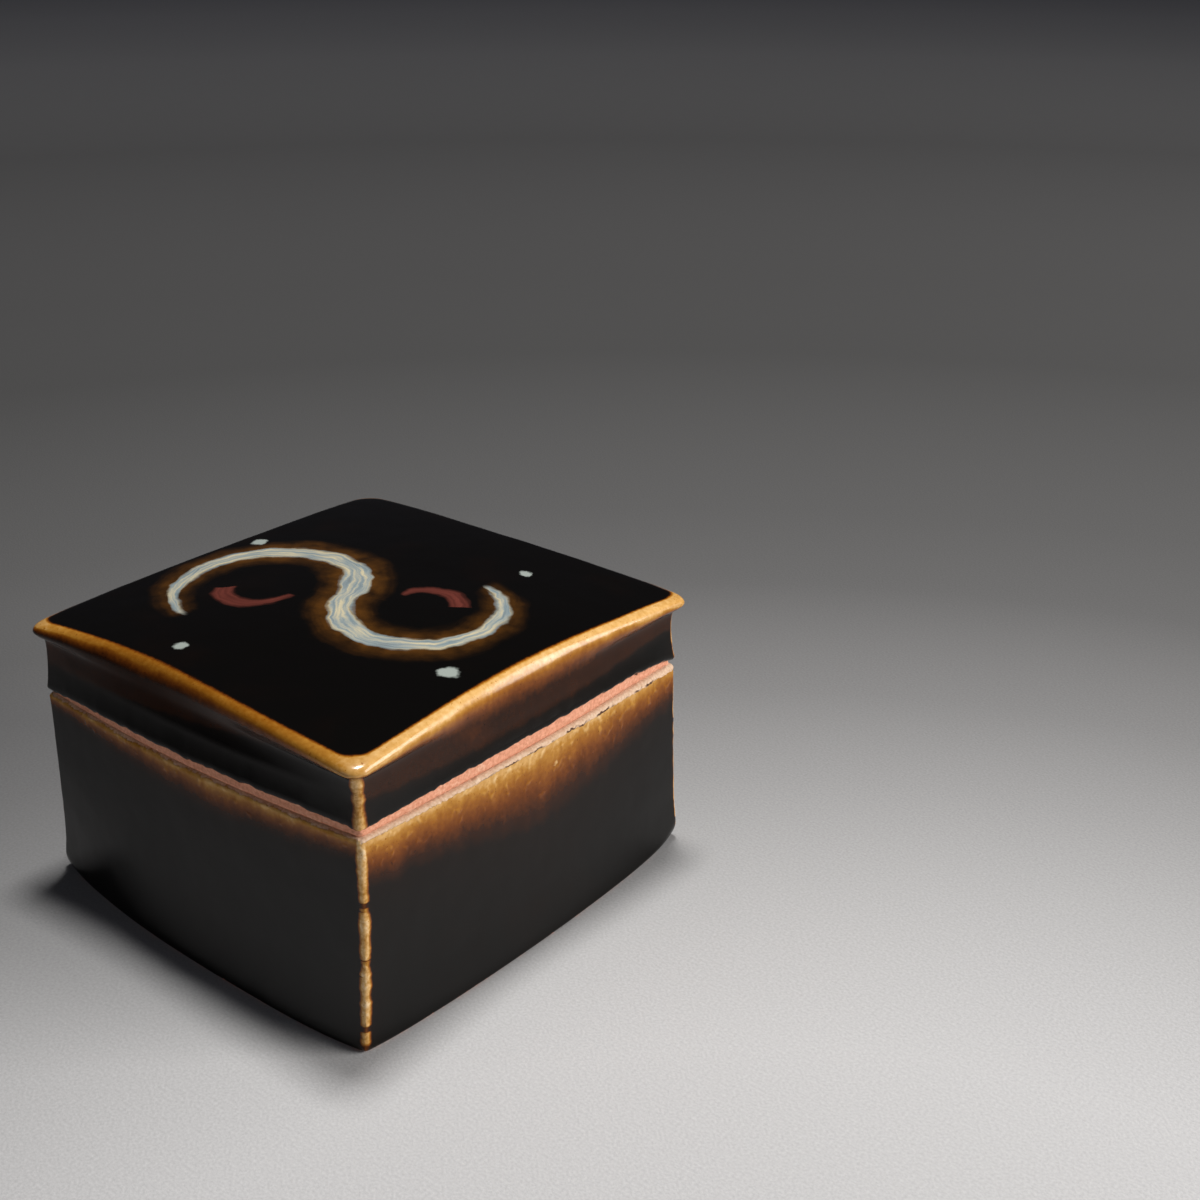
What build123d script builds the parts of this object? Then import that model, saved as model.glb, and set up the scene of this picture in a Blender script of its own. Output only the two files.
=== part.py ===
from build123d import *
import os
from math import cos, pi, sin, sqrt

# Slab-built stoneware box with a lift-off lid. Every slab that the potter cuts and lutes
# together is a solid of its own: four mitred walls with the floor between them, four flange
# strips inside the rim that locate the lid, and a domed lid slab on four low wall strips.
# Millimetres, +Z up, origin under the middle of the base. Front is -Y and right is +X.

# Box body. A half is measured from the middle of the box to the end of a wall, and a bow is
# how far the middle of that wall stands out beyond its ends.
rim_half = 70.0
rim_bow = 3.0
foot_spread = 1.5
foot_bow = 4.0
body_height = 65.6
wall_thickness = 7.0
floor_thickness = 8.0
arris_round = 1.2
inner_corner_round = 3.5
rim_tuck = 0.5
rim_edge_height = 2.0
base_roll = 5.0
standing_width = 12.0
underside_recess = 1.2

# Locating flange, luted inside the rim
flange_thickness = 4.0
flange_rise = 6.0
flange_seat = 12.0
flange_lean = 1.0

# Lid walls, which stand on the rim outside the flange. They are drawn in at the lower edge and
# swell a little between there and the neck, where they end.
lid_clearance = 0.8
lid_wall_height = 15.9
lid_edge_tuck = 1.5
lid_edge_height = 3.0
lid_swell = 0.5
neck_tuck = 0.4
neck_bow = 2.4

# Lid top. Above the neck its edge flares to a lip that stands out at the corners and is drawn
# in between them, rolls over at the shoulder and runs in under the crown of the dome.
lip_reach = 2.0
lip_bow = -2.0
lip_rise = 6.5
lip_corner_round = 3.0
shoulder_tuck = 0.6
shoulder_bow = -2.6
shoulder_rise = 1.6
crown_tuck = 5.0
crown_bow = -1.8
crown_rise = 5.4
dome_drop = 5.3
lid_top_thickness = 8.0

# Shares of the quarter turn at which the rolled base edge is drawn, and of the height at which
# the swell of the lid's walls is
roll_turn_shares = (0.0, 0.25, 0.5, 0.75, 1.0)
swell_shares = (0.0, 0.25, 0.5, 0.75, 1.0)

# Sizes that follow from the ones above. The ball that shapes the dome passes dome_drop below
# its own top at the lip's corners.
foot_half = rim_half + foot_spread
flange_foot = body_height - flange_seat
flange_top = body_height + flange_rise
lid_half = rim_half - wall_thickness + lid_clearance
neck_height = body_height + lid_wall_height
lip_height = neck_height + lip_rise
shoulder_height = lip_height + shoulder_rise
crown_height = shoulder_height + crown_rise
lip_half = rim_half + lip_reach
lip_diagonal = lip_half * sqrt(2)
dome_radius = (lip_diagonal**2 + dome_drop**2) / (2 * dome_drop)
reach = 2 * (lip_half + foot_half)
side_turns = {"right": 0, "back": 90, "left": 180, "front": 270}


def outline(half, bow, corner, height):
    """A square whose sides are shallow arcs, with rounded corners, at one height."""
    corners = [(half, -half), (half, half), (-half, half), (-half, -half)]
    middles = [(half + bow, 0), (0, half + bow), (-half - bow, 0), (0, -half - bow)]
    ends = corners[1:] + corners[:1]
    arcs = [ThreePointArc(*points) for points in zip(corners, middles, ends)]
    plan = make_face(arcs)
    return Pos(0, 0, height) * fillet(plan.vertices(), corner)


def level(low, high):
    """Everything between two heights."""
    return Pos(0, 0, (low + high) / 2) * Box(reach, reach, high - low)


def quarter(turn):
    """The quarter of the box that holds one wall, cut at the mitres."""
    plan = make_face(Polyline((0, 0), (reach, -reach), (reach, reach), close=True))
    return Rot(0, 0, turn) * extrude(plan, reach, both=True)


def at_height(foot_size, rim_size, height):
    """A size that runs evenly from the base to the rim, and on above it."""
    return foot_size + (rim_size - foot_size) * height / body_height


def wall_outline(inset, corner, height):
    """The outline of the walls at one height, taken in from their outer face."""
    half = at_height(foot_half, rim_half, height) - inset
    return outline(half, at_height(foot_bow, rim_bow, height), corner, height)


def body_block():
    """The outside of the box body: rolled base edge, tapered walls and a rim drawn in."""
    rolled_half = at_height(foot_half, rim_half, base_roll)
    rolled_bow = at_height(foot_bow, rim_bow, base_roll)
    rolled = []
    for share in roll_turn_shares:
        turn = share * pi / 2
        inset = base_roll * (1 - sin(turn))
        height = base_roll * (1 - cos(turn))
        rolled.append(outline(rolled_half - inset, rolled_bow, arris_round, height))
    below_rim = wall_outline(0, arris_round, body_height - rim_edge_height)
    rim = wall_outline(rim_tuck, arris_round, body_height)
    return loft([*rolled, below_rim, rim], ruled=True)


def cavity_block(inset):
    """The space inside the walls, taken in by an inset, from the base to the flange's top."""
    heights = (0, flange_foot, body_height, flange_top)
    return loft([wall_outline(inset, inner_corner_round, height) for height in heights], ruled=True)


def make_walls(cavity):
    """The ring of four body walls, still in one piece."""
    return body_block() - cavity


def make_floor(cavity):
    """The floor between the walls, hollowed a little underneath so that it stands on its edge."""
    floor = cavity & level(0, floor_thickness)
    inset = wall_thickness + standing_width
    return floor - extrude(wall_outline(inset, inner_corner_round, 0), underside_recess)


def make_flange():
    """The ring of four flange strips: luted to the walls below the rim, leaning in above it."""
    foot = wall_outline(wall_thickness, inner_corner_round, flange_foot)
    rim = wall_outline(wall_thickness, inner_corner_round, body_height)
    top = wall_outline(wall_thickness + flange_lean, inner_corner_round, flange_top)
    return loft([foot, rim, top], ruled=True) - cavity_block(wall_thickness + flange_thickness)


def dome(radius):
    """A ball whose upper side is the lid's dome, or its underside at a smaller radius."""
    return Pos(0, 0, crown_height - dome_radius) * Rot(90, 0, 0) * Sphere(radius)


def lid_hollow():
    """The space inside the lid, up to the underside of its dome."""
    plan = outline(lid_half, rim_bow, inner_corner_round, body_height)
    room = extrude(plan, crown_height - body_height)
    return room & dome(dome_radius - lid_top_thickness)


def neck_outline():
    """Where the lid's walls end and its top slab begins."""
    return outline(rim_half - neck_tuck, neck_bow, arris_round, neck_height)


def make_lid_walls(hollow):
    """The ring of four lid walls, drawn in at the lower edge and swelling up to the neck."""
    sections = [outline(rim_half - lid_edge_tuck, rim_bow, arris_round, body_height)]
    for share in swell_shares:
        half = rim_half - neck_tuck * share + 4 * lid_swell * share * (1 - share)
        bow = rim_bow + (neck_bow - rim_bow) * share
        height = lid_edge_height + (lid_wall_height - lid_edge_height) * share
        sections.append(outline(half, bow, arris_round, body_height + height))
    return loft(sections, ruled=True) - hollow


def make_lid_top(hollow):
    """The domed top slab, whose edge flares to the lip and rolls over the shoulder to the dome."""
    lip = outline(lip_half, lip_bow, lip_corner_round, lip_height)
    shoulder = outline(lip_half - shoulder_tuck, shoulder_bow, lip_corner_round, shoulder_height)
    crown = outline(lip_half - crown_tuck, crown_bow, lip_corner_round, crown_height)
    slab = loft([neck_outline(), lip, shoulder, crown], ruled=True) & dome(dome_radius)
    return slab - hollow


def write(piece, node):
    """Writes one piece and prints its size."""
    solid = piece.solids()[0]
    export_step(solid, f"parts/{node}.step")
    print(node, round(solid.volume), solid.bounding_box().size)


def write_strips(ring, name):
    """Cuts a ring at its mitres and writes the four strips."""
    for side, turn in side_turns.items():
        write(ring & quarter(turn), name.format(side=side))


os.makedirs("parts", exist_ok=True)
body_cavity = cavity_block(wall_thickness)
lid_cavity = lid_hollow()
write(make_floor(body_cavity), "floor_slab")
write_strips(make_walls(body_cavity), "{side}_wall_slab")
write_strips(make_flange(), "{side}_flange_strip")
write_strips(make_lid_walls(lid_cavity), "lid_{side}_wall_strip")
write(make_lid_top(lid_cavity), "lid_top_slab")
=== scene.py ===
# %% [markdown]
# # A slab-built stoneware box with a lift-off lid
# The box is a square of stoneware slabs under a glossy iron glaze. The glaze is black where it lies thick
# and breaks to amber and honey wherever it ran thin, along every edge and corner. This lesson rebuilds the
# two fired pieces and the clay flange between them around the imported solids, which give every size.

# %% The frame and the tools
import bpy
import bmesh
from math import copysign, cos, exp, pi, sin
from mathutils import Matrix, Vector, noise


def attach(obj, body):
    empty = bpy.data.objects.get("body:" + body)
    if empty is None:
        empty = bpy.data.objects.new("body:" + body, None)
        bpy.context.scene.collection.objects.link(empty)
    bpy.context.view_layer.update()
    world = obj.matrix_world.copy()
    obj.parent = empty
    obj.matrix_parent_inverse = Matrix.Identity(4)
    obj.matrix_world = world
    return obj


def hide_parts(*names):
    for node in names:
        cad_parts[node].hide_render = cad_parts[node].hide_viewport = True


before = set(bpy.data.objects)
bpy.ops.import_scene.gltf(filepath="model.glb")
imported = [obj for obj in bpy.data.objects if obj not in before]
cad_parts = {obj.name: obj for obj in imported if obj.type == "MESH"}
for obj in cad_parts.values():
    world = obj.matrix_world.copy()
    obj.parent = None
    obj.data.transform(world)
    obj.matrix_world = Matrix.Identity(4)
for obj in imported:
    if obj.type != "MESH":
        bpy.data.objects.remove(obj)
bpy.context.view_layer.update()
MM = 0.001

# %% [markdown]
# ## Camera
# The picture was taken from the front corner, a little above the box, with the box left of the middle.
# A camera could be moved by eye until the corners fall right. Here its place, aim and lens were worked out
# from the corners of the box, so that one frame serves the solids and the picture.

# %% Camera
camera_data = bpy.data.cameras.new("camera")
camera_data.lens = 53.2
camera_data.sensor_width = 36.0
camera = bpy.data.objects.new("camera", camera_data)
camera.location = (0.3767, -0.3458, 0.3187)
camera_aim = Vector((-0.01365, 0.13475, 0.0420))
camera.rotation_euler = (camera_aim - camera.location).to_track_quat("-Z", "Y").to_euler()
bpy.context.scene.collection.objects.link(camera)
bpy.context.scene.camera = camera
bpy.context.scene.view_settings.view_transform = "Standard"
print("camera at", [round(c, 3) for c in camera.location])

# %% [markdown]
# ## Writing materials as sums
# A glaze is a sum of small causes: how far the edge is, how thick the coat ran, where it crawled. Nodes can
# be wired by hand, but then the sum can't be read. This class wraps one output socket, so that plus, minus,
# times and divide add Math nodes, and `add` makes every other kind of node.


# %% A socket that does arithmetic
class Socket:
    """One output of a material's nodes. Arithmetic on it adds Math nodes, and add() adds any other node."""

    def __init__(self, tree, output=None):
        self.tree = tree
        self.output = output

    def add(self, kind, settings=None, sockets=None, out=0):
        node = self.tree.nodes.new(kind)
        for name, setting in (settings or {}).items():
            if name == "stops":
                set_stops(node.color_ramp, setting)
            else:
                setattr(node, name, setting)
        for key, value in (sockets or {}).items():
            if isinstance(value, Socket):
                self.tree.links.new(value.output, node.inputs[key])
            else:
                node.inputs[key].default_value = value
        return Socket(self.tree, node.outputs[out] if len(node.outputs) else None)

    def math(self, operation, *values):
        return self.add("ShaderNodeMath", {"operation": operation}, dict(enumerate(values)))

    def __add__(self, other):
        return self.math("ADD", self, other)

    def __radd__(self, other):
        return self.math("ADD", other, self)

    def __sub__(self, other):
        return self.math("SUBTRACT", self, other)

    def __rsub__(self, other):
        return self.math("SUBTRACT", other, self)

    def __mul__(self, other):
        return self.math("MULTIPLY", self, other)

    def __rmul__(self, other):
        return self.math("MULTIPLY", other, self)

    def __truediv__(self, other):
        return self.math("DIVIDE", self, other)

    def most(self, other):
        return self.math("MAXIMUM", self, other)

    def absolute(self):
        return self.math("ABSOLUTE", self)

    def power(self, exponent):
        return self.math("POWER", self, exponent)

    def fade_out(self):
        """1 at nought, falling to e to the minus this value."""
        return self.math("EXPONENT", self * -1.0)

    def step(self, low, high):
        """0 below low, 1 above high, and a smooth rise between them."""
        return self.add(
            "ShaderNodeMapRange",
            {"interpolation_type": "SMOOTHSTEP"},
            {"Value": self, "From Min": low, "From Max": high},
        )

    def mix(self, first, second):
        """The first colour where this mask is 0 and the second where it is 1."""
        return self.add("ShaderNodeMix", {"data_type": "RGBA"}, {0: self, 6: first, 7: second}, 2)

    def axis(self, name):
        """One coordinate of this vector."""
        return self.add("ShaderNodeSeparateXYZ", None, {0: self}, name)

    def distance(self, point):
        """How far this vector is from a point."""
        return self.add("ShaderNodeVectorMath", {"operation": "DISTANCE"}, {0: self, 1: point}, "Value")

    def stretched(self, x, y, z):
        """This vector with each axis scaled."""
        return self.add("ShaderNodeVectorMath", {"operation": "MULTIPLY"}, {0: self, 1: (x, y, z)})

    def grain(self, size, detail=2.0, roughness=0.5):
        """Smooth noise on this vector, about nought, with patches of a size in millimetres."""
        sockets = {"Vector": self, "Scale": 1.0 / (size * MM), "Detail": detail, "Roughness": roughness}
        return self.add("ShaderNodeTexNoise", None, sockets) - 0.5


def set_stops(ramp, stops):
    """Gives a colour ramp its stops, each a place and a linear colour."""
    while len(ramp.elements) < len(stops):
        ramp.elements.new(1.0)
    for element, (place, colour) in zip(ramp.elements, stops):
        element.position = place
        element.color = (*colour, 1.0)


def new_material(name):
    """A material with an empty tree, and the socket that starts its nodes."""
    material = bpy.data.materials.new(name)
    material.use_nodes = True
    material.node_tree.nodes.clear()
    return material, Socket(material.node_tree)


def surface(start, sockets):
    """Ends a material in one Principled shader."""
    shader = start.add("ShaderNodeBsdfPrincipled", None, sockets)
    start.add("ShaderNodeOutputMaterial", None, {"Surface": shader})


print("sockets add", "Math nodes")

# %% [markdown]
# ## Floor and light
# The box stands on a plain sheet of pale grey paper. The paper's colour holds a painted pool of light, pale
# under the box, with painted shade that darkens it away from the box and grows lighter again far off. A
# small lamp hangs over it, a little behind, and draws the dark shadow along the front foot. A broad lamp
# low on the right, half behind the box, lights the right wall. A weak one in front adds little to what the
# paper throws back. A backdrop could stand behind the box, but the glossy lid would mirror it, so the sheet
# just runs on into the dark. That keeps the lid black.

# %% Floor
FLOOR_RADIUS = 4.0
PAPER_SPAN = 3.0
PAPER_LIGHT_MIDDLE = (0.28, -0.16, 0.0)
# How pale the paper is, by distance from the middle of its painted pool of light, in metres: painted light
# near the box and painted shade further out
PAPER_LIGHT_TONES = (
    (0.00, 0.52), (0.20, 0.52), (0.25, 0.46), (0.29, 0.40), (0.35, 0.30), (0.42, 0.20), (0.53, 0.112),
    (0.62, 0.094), (0.90, 0.073), (1.10, 0.094), (1.70, 0.18), (2.40, 0.45), (3.00, 0.57),
)
# How blue the paper is beside grey, the size of its fibres in millimetres, and how much they show
PAPER_BLUE = 1.02
FIBRE_SIZE = 0.9
FIBRE_SHARE = 0.24
BLACK = (0.0, 0.0, 0.0, 1.0)
WHITE = (1.0, 1.0, 1.0, 1.0)


def paper():
    """Matt paper with a fine speckle, and a painted pool of light: pale under the box, darkened by painted
    shade far away.
    """
    material, start = new_material("studio_paper")
    place = start.add("ShaderNodeTexCoord", out="Object")
    # The grey by distance is painted light and shade: a pool of lamp light under the box and its falling
    # off.
    away = place.distance(PAPER_LIGHT_MIDDLE)
    stops = [(far / PAPER_SPAN, (lit_tone, lit_tone, lit_tone * PAPER_BLUE)) for far, lit_tone in PAPER_LIGHT_TONES]
    lit_tone = start.add("ShaderNodeValToRGB", {"stops": stops}, {"Fac": away / PAPER_SPAN})
    fibre = place.grain(FIBRE_SIZE, 3.0)
    speckled = (0.5 + fibre * 0.9).mix(BLACK, WHITE)
    overlay = {"data_type": "RGBA", "blend_type": "OVERLAY"}
    colour = place.add("ShaderNodeMix", overlay, {0: FIBRE_SHARE, 6: lit_tone, 7: speckled}, 2)
    bump = place.add("ShaderNodeBump", None, {"Height": fibre, "Distance": 0.2 * MM, "Strength": 0.4})
    surface(start, {"Base Color": colour, "Roughness": 0.9, "Normal": bump})
    return material


floor_mesh = bpy.data.meshes.new("paper_floor")
bm = bmesh.new()
bmesh.ops.create_circle(bm, cap_ends=True, segments=96, radius=FLOOR_RADIUS)
bm.to_mesh(floor_mesh)
bm.free()
floor_mesh.materials.append(paper())
floor = bpy.data.objects.new("paper_floor", floor_mesh)
bpy.context.scene.collection.objects.link(floor)
print("floor radius", FLOOR_RADIUS)

# %% Light
BOX_MIDDLE = Vector((0.0, 0.0, 0.05))
# Each lamp: where it stands, its width in metres, its power in watts and its colour
LAMPS = {
    "top_lamp": ((-0.055, 0.155, 1.20), 0.20, 11.2, (1.0, 0.98, 0.95)),
    "side_lamp": ((1.35, 0.72, 0.62), 0.9, 29.5, (1.0, 0.97, 0.93)),
    "front_lamp": ((-0.25, -1.50, 0.28), 0.8, 1.9, (1.0, 1.0, 1.0)),
}
AMBIENT = (0.0245, 0.025, 0.031, 1.0)


def area_lamp(name, place, width, power, colour):
    """A soft square lamp, turned towards the box."""
    data = bpy.data.lights.new(name, "AREA")
    data.size = width
    data.energy = power
    data.color = colour
    lamp = bpy.data.objects.new(name, data)
    lamp.location = place
    lamp.rotation_euler = (BOX_MIDDLE - Vector(place)).to_track_quat("-Z", "Y").to_euler()
    bpy.context.scene.collection.objects.link(lamp)


for lamp_name, lamp_settings in LAMPS.items():
    area_lamp(lamp_name, *lamp_settings)
world = bpy.data.worlds.new("studio")
world.use_nodes = True
world.node_tree.nodes["Background"].inputs["Color"].default_value = AMBIENT
bpy.context.scene.world = world
print("lamps", list(LAMPS))

# %% [markdown]
# ## The plan of the box
# Seen from above, the box is a square whose walls bow outwards and whose lid edge is drawn inwards, with
# rounded corners that were never quite true. Every level of the box is that same plan with other numbers.
# So a flat grid from -1 to 1 is laid out once, and a function says where each of its points falls at a
# given level. The grid's lines crowd towards the corners, where the shape turns fastest.

# %% Plan
GRID = 144
CROWDING = 0.85
# Half the width over the rim's corners and the height of the seam, in millimetres like all sizes below
RIM_HALF = 70.0
SEAM = 65.6
# How far the middle of each wall stands out at the rim, and how far the solids' do
WALL_BOW = {"right": 2.1, "back": 2.8, "left": 3.2, "front": 3.9}
MEAN_BOW = 3.0
# How round each corner is beside the others: near, left, right and far
SOFTNESS = {(1, -1): 1.00, (-1, -1): 0.75, (1, 1): 0.85, (-1, 1): 1.20}


def crowd(share):
    """Moves a grid line from an even spacing towards the corners."""
    return (1 - CROWDING) * share + CROWDING * sin(share * pi / 2)


def side_of(u, v):
    """The side that a point of the plan belongs to, and how far along it the point is, from -1 to 1."""
    ring = max(abs(u), abs(v), 1e-6)
    if abs(u) >= abs(v):
        return ("right" if u > 0 else "left"), v / ring
    return ("back" if v > 0 else "front"), u / ring


def at_corner(u, v, table):
    """The entry of the corner that a point of the plan is nearest to."""
    return table[copysign(1, u), copysign(1, v)]


def rounded(u, v, half, corner):
    """Where (u, v) falls on a plain square with rounded corners."""
    side = max(abs(u), abs(v)) * half
    along = min(abs(u), abs(v)) * half
    radius = corner * at_corner(u, v, SOFTNESS) - (half - side)
    if side - along < radius:
        turn = (1 - (side - along) / radius) * pi / 4
        along = side - radius * (1 - sin(turn))
        side -= radius * (1 - cos(turn))
    if abs(u) >= abs(v):
        return copysign(side, u), copysign(along, v)
    return copysign(along, u), copysign(side, v)


def plan_point(u, v, half, swell, corner):
    """Where (u, v) falls on a square whose sides stand out by swell(side, along), in millimetres."""
    x, y = rounded(u, v, half, corner)
    out_x = swell("right" if u > 0 else "left", y / half)
    out_y = swell("back" if v > 0 else "front", x / half)
    return x + out_x * x / half, y + out_y * y / half


def shifted(u, v, shifts):
    """How far a point moves when each corner of the plan is pushed by its own amount."""
    move = Vector((0.0, 0.0))
    for (corner_u, corner_v), push in shifts.items():
        move += Vector(push) * ((1 + corner_u * u) * (1 + corner_v * v) / 4)
    return move


def side_ends(u, v, table):
    """A value that runs evenly along a side, from the entry of one corner to the other's."""
    ring = max(abs(u), abs(v), 1e-6)
    u, v = u / ring, v / ring
    return sum(entry * (1 + a * u) * (1 + b * v) / 4 for (a, b), entry in table.items())


def towards_corner(middle, corner, along):
    """A value that runs from the middle of a side to its corners."""
    return middle + (corner - middle) * along * along


def even_swell(bow):
    """Sides that all stand out by the same bow."""
    return lambda side, along: bow * (1 - along * along)


def plan_noise(u, v, waves, layer):
    """Smooth noise over the plan, with some waves to each half of it, from one layer of the noise."""
    return noise.noise((u * waves, v * waves, layer))


print("plan of", GRID, "by", GRID, "faces, sides", list(WALL_BOW))

# %% [markdown]
# ## Growing a shell ring by ring
# A potter's slab box is a closed shell: outside, rim, inside and back. Here each shell starts as the grid,
# and its border is extruded again and again. Each new ring is put where its level of the profile says, and
# carries a few measures of its own, such as how far it is below the edge, that the glaze reads later.

# %% Shells
MEASURES = (
    "below_edge", "amber_width", "amber_fade", "amber_peak", "brown_reach", "from_arris", "glazed",
    "pale_clay", "on_lid",
)
# Waves that a hand leaves in the skin: the size of their patches and how far they go in and out
SLOW_WAVE = (45.0, 0.35)
FINE_WAVE = (9.0, 0.07)
BEAD_WAVE = (2.6, 0.22)
# How far the beads reach from an upright corner, and how near the foot and the seam the skin keeps level
BEAD_REACH = 1.4
LEVEL_MARGIN = 8.0
WELD = 0.001


def wave(spot, kind):
    """How far one kind of wave moves the skin at a spot."""
    size, depth = kind
    return depth * noise.noise(spot / size)


class Shell:
    """A bmesh with plan coordinates and glaze measures on its vertices, grown from its border."""

    def __init__(self):
        self.bm = bmesh.new()
        layers = self.bm.verts.layers.float
        self.u = layers.new("plan_u")
        self.v = layers.new("plan_v")
        self.measures = {name: layers.new(name) for name in MEASURES}

    def sheet(self, place):
        """A grid over the whole plan, each point put by place(u, v). Returns its border."""
        made = bmesh.ops.create_grid(self.bm, x_segments=GRID, y_segments=GRID, size=1.0)
        for vert in made["verts"]:
            vert[self.u] = crowd(vert.co.x)
            vert[self.v] = crowd(vert.co.y)
            self.put(vert, place)
        edges = dict.fromkeys(edge for vert in made["verts"] for edge in vert.link_edges)
        return [edge for edge in edges if edge.is_boundary]

    def ring(self, border, place):
        """One more ring, extruded from the border. Returns the new border."""
        made = bmesh.ops.extrude_edge_only(self.bm, edges=border)["geom"]
        for vert in made:
            if isinstance(vert, bmesh.types.BMVert):
                self.put(vert, place)
        return [e for e in made if isinstance(e, bmesh.types.BMEdge) and e.is_boundary]

    def put(self, vert, place):
        """Puts one vertex in its place, with its measures. With no below_edge, the last ring's runs on."""
        start = vert.co.copy()
        spot, measures = place(vert[self.u], vert[self.v])
        vert.co = spot
        for name, value in measures.items():
            vert[self.measures[name]] = value
        if "below_edge" not in measures:
            vert[self.measures["below_edge"]] += (vert.co - start).length

    def roughen(self):
        """Moves the skin in and out in waves, but keeps the foot and the seam level."""
        self.bm.normal_update()
        moves = []
        for vert in self.bm.verts:
            off_foot = min(1.0, max(0.0, vert.co.z) / LEVEL_MARGIN)
            off_seam = min(1.0, abs(vert.co.z - SEAM) / LEVEL_MARGIN)
            push = vert.normal.copy()
            push.z *= off_foot * off_seam
            near_arris = exp(-vert[self.measures["from_arris"]] / BEAD_REACH)
            depth = wave(vert.co, SLOW_WAVE) + wave(vert.co, FINE_WAVE)
            depth += near_arris * wave(vert.co, BEAD_WAVE)
            moves.append((vert, push * depth))
        for vert, move in moves:
            vert.co += move

    def finish(self, name, material):
        """Welds the shell, turns its faces outwards, and makes it an object in metres."""
        bmesh.ops.remove_doubles(self.bm, verts=self.bm.verts, dist=WELD)
        bmesh.ops.recalc_face_normals(self.bm, faces=self.bm.faces)
        self.roughen()
        bmesh.ops.scale(self.bm, vec=(MM, MM, MM), verts=self.bm.verts)
        for face in self.bm.faces:
            face.smooth = True
        open_edges = sum(1 for edge in self.bm.edges if not edge.is_manifold)
        mesh = bpy.data.meshes.new(name)
        self.bm.to_mesh(mesh)
        print(name, len(self.bm.faces), "faces,", open_edges, "open edges")
        self.bm.free()
        mesh.materials.append(material)
        piece = bpy.data.objects.new(name, mesh)
        bpy.context.scene.collection.objects.link(piece)
        return piece


def through(stations, steps):
    """A smooth line of rings through stations, with a number of steps between each pair."""
    ends = [stations[0], *stations, stations[-1]]
    for a, b, c, d in zip(ends, ends[1:], ends[2:], ends[3:]):
        for step in range(steps):
            s = step / steps
            yield tuple(
                q + s / 2 * (r - p + s * (2 * p - 5 * q + 4 * r - t + s * (3 * (q - r) + t - p)))
                for p, q, r, t in zip(a, b, c, d)
            )
    yield tuple(stations[-1])


print("measures", MEASURES)

# %% [markdown]
# ## Iron glaze over stoneware
# An iron glaze is nearly black where it lies thick. Where it drew back from an edge it lets the clay shine
# through, first brown, then amber, then honey and cream. Painting those bands would not follow the shape.
# So the material works out how thin the coat is at each point, from the distance to the nearest edge and
# some noise, and one colour ramp turns that thinness into colour.

# %% Thinness of the glaze
# The glaze's colour by how thin it is, from a thick black coat to clay that shines through
GLAZE_STOPS = (
    (0.00, (0.0020, 0.0016, 0.0012)),
    (0.16, (0.0050, 0.0022, 0.0010)),
    (0.25, (0.030, 0.0075, 0.0012)),
    (0.37, (0.120, 0.030, 0.0020)),
    (0.46, (0.200, 0.058, 0.0035)),
    (0.57, (0.300, 0.106, 0.006)),
    (0.70, (0.450, 0.205, 0.027)),
    (0.86, (0.680, 0.410, 0.150)),
    (1.00, (0.800, 0.590, 0.340)),
)


def measure(start, name):
    """A measure that was written on the vertices."""
    return start.add("ShaderNodeAttribute", {"attribute_name": name}, out="Fac")


def edge_thinness(start, place):
    """How thin the glaze is along the edge of the lid or the rim: an amber band, then a brown haze."""
    mottle = place.grain(1.3, 2.0)
    clouds = place.grain(11.0, 2.0)
    runs = place.stretched(1.0, 1.0, 0.30).grain(4.5, 2.0)
    below = measure(start, "below_edge")
    fade = measure(start, "amber_fade")
    drift = below + mottle * 0.9 + (runs * 0.8 + clouds * 0.8) * fade * 0.45
    past = (drift - measure(start, "amber_width")).most(0.0)
    band = measure(start, "amber_peak") * (past / fade).fade_out()
    reach = (below + runs * 2.0) / measure(start, "brown_reach")
    haze = (0.225 + clouds * 0.05) * (1.0 - reach.step(0.86, 1.12))
    top_edge = (below + mottle * 0.7).step(-1.7, 0.6)
    return top_edge * band.most(haze)


# Heights at which dark glaze crawled across the beaded corners
NOTCHES = (45.2, 7.4)


def arris_thinness(start, place):
    """How thin the glaze is on an upright corner: a beaded line with dark notches where it crawled."""
    beads = place.stretched(0.15, 0.15, 1.0).grain(4.6, 2.0, 0.5)
    notches = place.stretched(0.12, 0.12, 1.0).grain(2.6, 1.0)
    away = measure(start, "from_arris")
    width = 1.9 + beads * 2.0
    line = 1.0 - away.step(width - 1.1, width + 0.9)
    notched = 1.0 - 0.8 * notches.step(0.19, 0.25)
    up = place.axis("Z") / MM
    for height in NOTCHES:
        notched = notched * (0.15 + 0.85 * (up - height).absolute().step(0.4, 1.1))
    streaks = place.grain(0.9, 2.0) * 0.45
    line = line * (0.80 + beads * 0.60 + streaks) * notched * up.step(1.5, 4.0)
    return line.most(0.40 * (away / 2.2).fade_out())


def glaze_thinness(start, place):
    """The coat's thinness all over, 0 where it is thick and 1 where the clay nearly shows."""
    thin = edge_thinness(start, place).most(arris_thinness(start, place))
    specks = place.grain(0.9, 1.0).step(0.19, 0.27) * 0.22
    mottled = thin * (1.0 + place.grain(1.6, 3.0) * 0.30 - specks)
    return mottled + place.grain(24.0, 3.0).step(0.0, 0.4) * 0.10


print("glaze stops", len(GLAZE_STOPS))

# %% [markdown]
# ## Bare clay
# Where the lid meets the box the potter wiped the glaze off, so that the two don't fuse in the kiln. The
# clay there is a dry, sandy orange, and paler on the rim. It could be a second material on its own faces,
# but the glaze stops in a ragged line finer than any face. So one material holds both, and a mask parts
# them. Towards the far end of the right rim, and behind, the glaze tore open in thin dark cracks.

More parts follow.
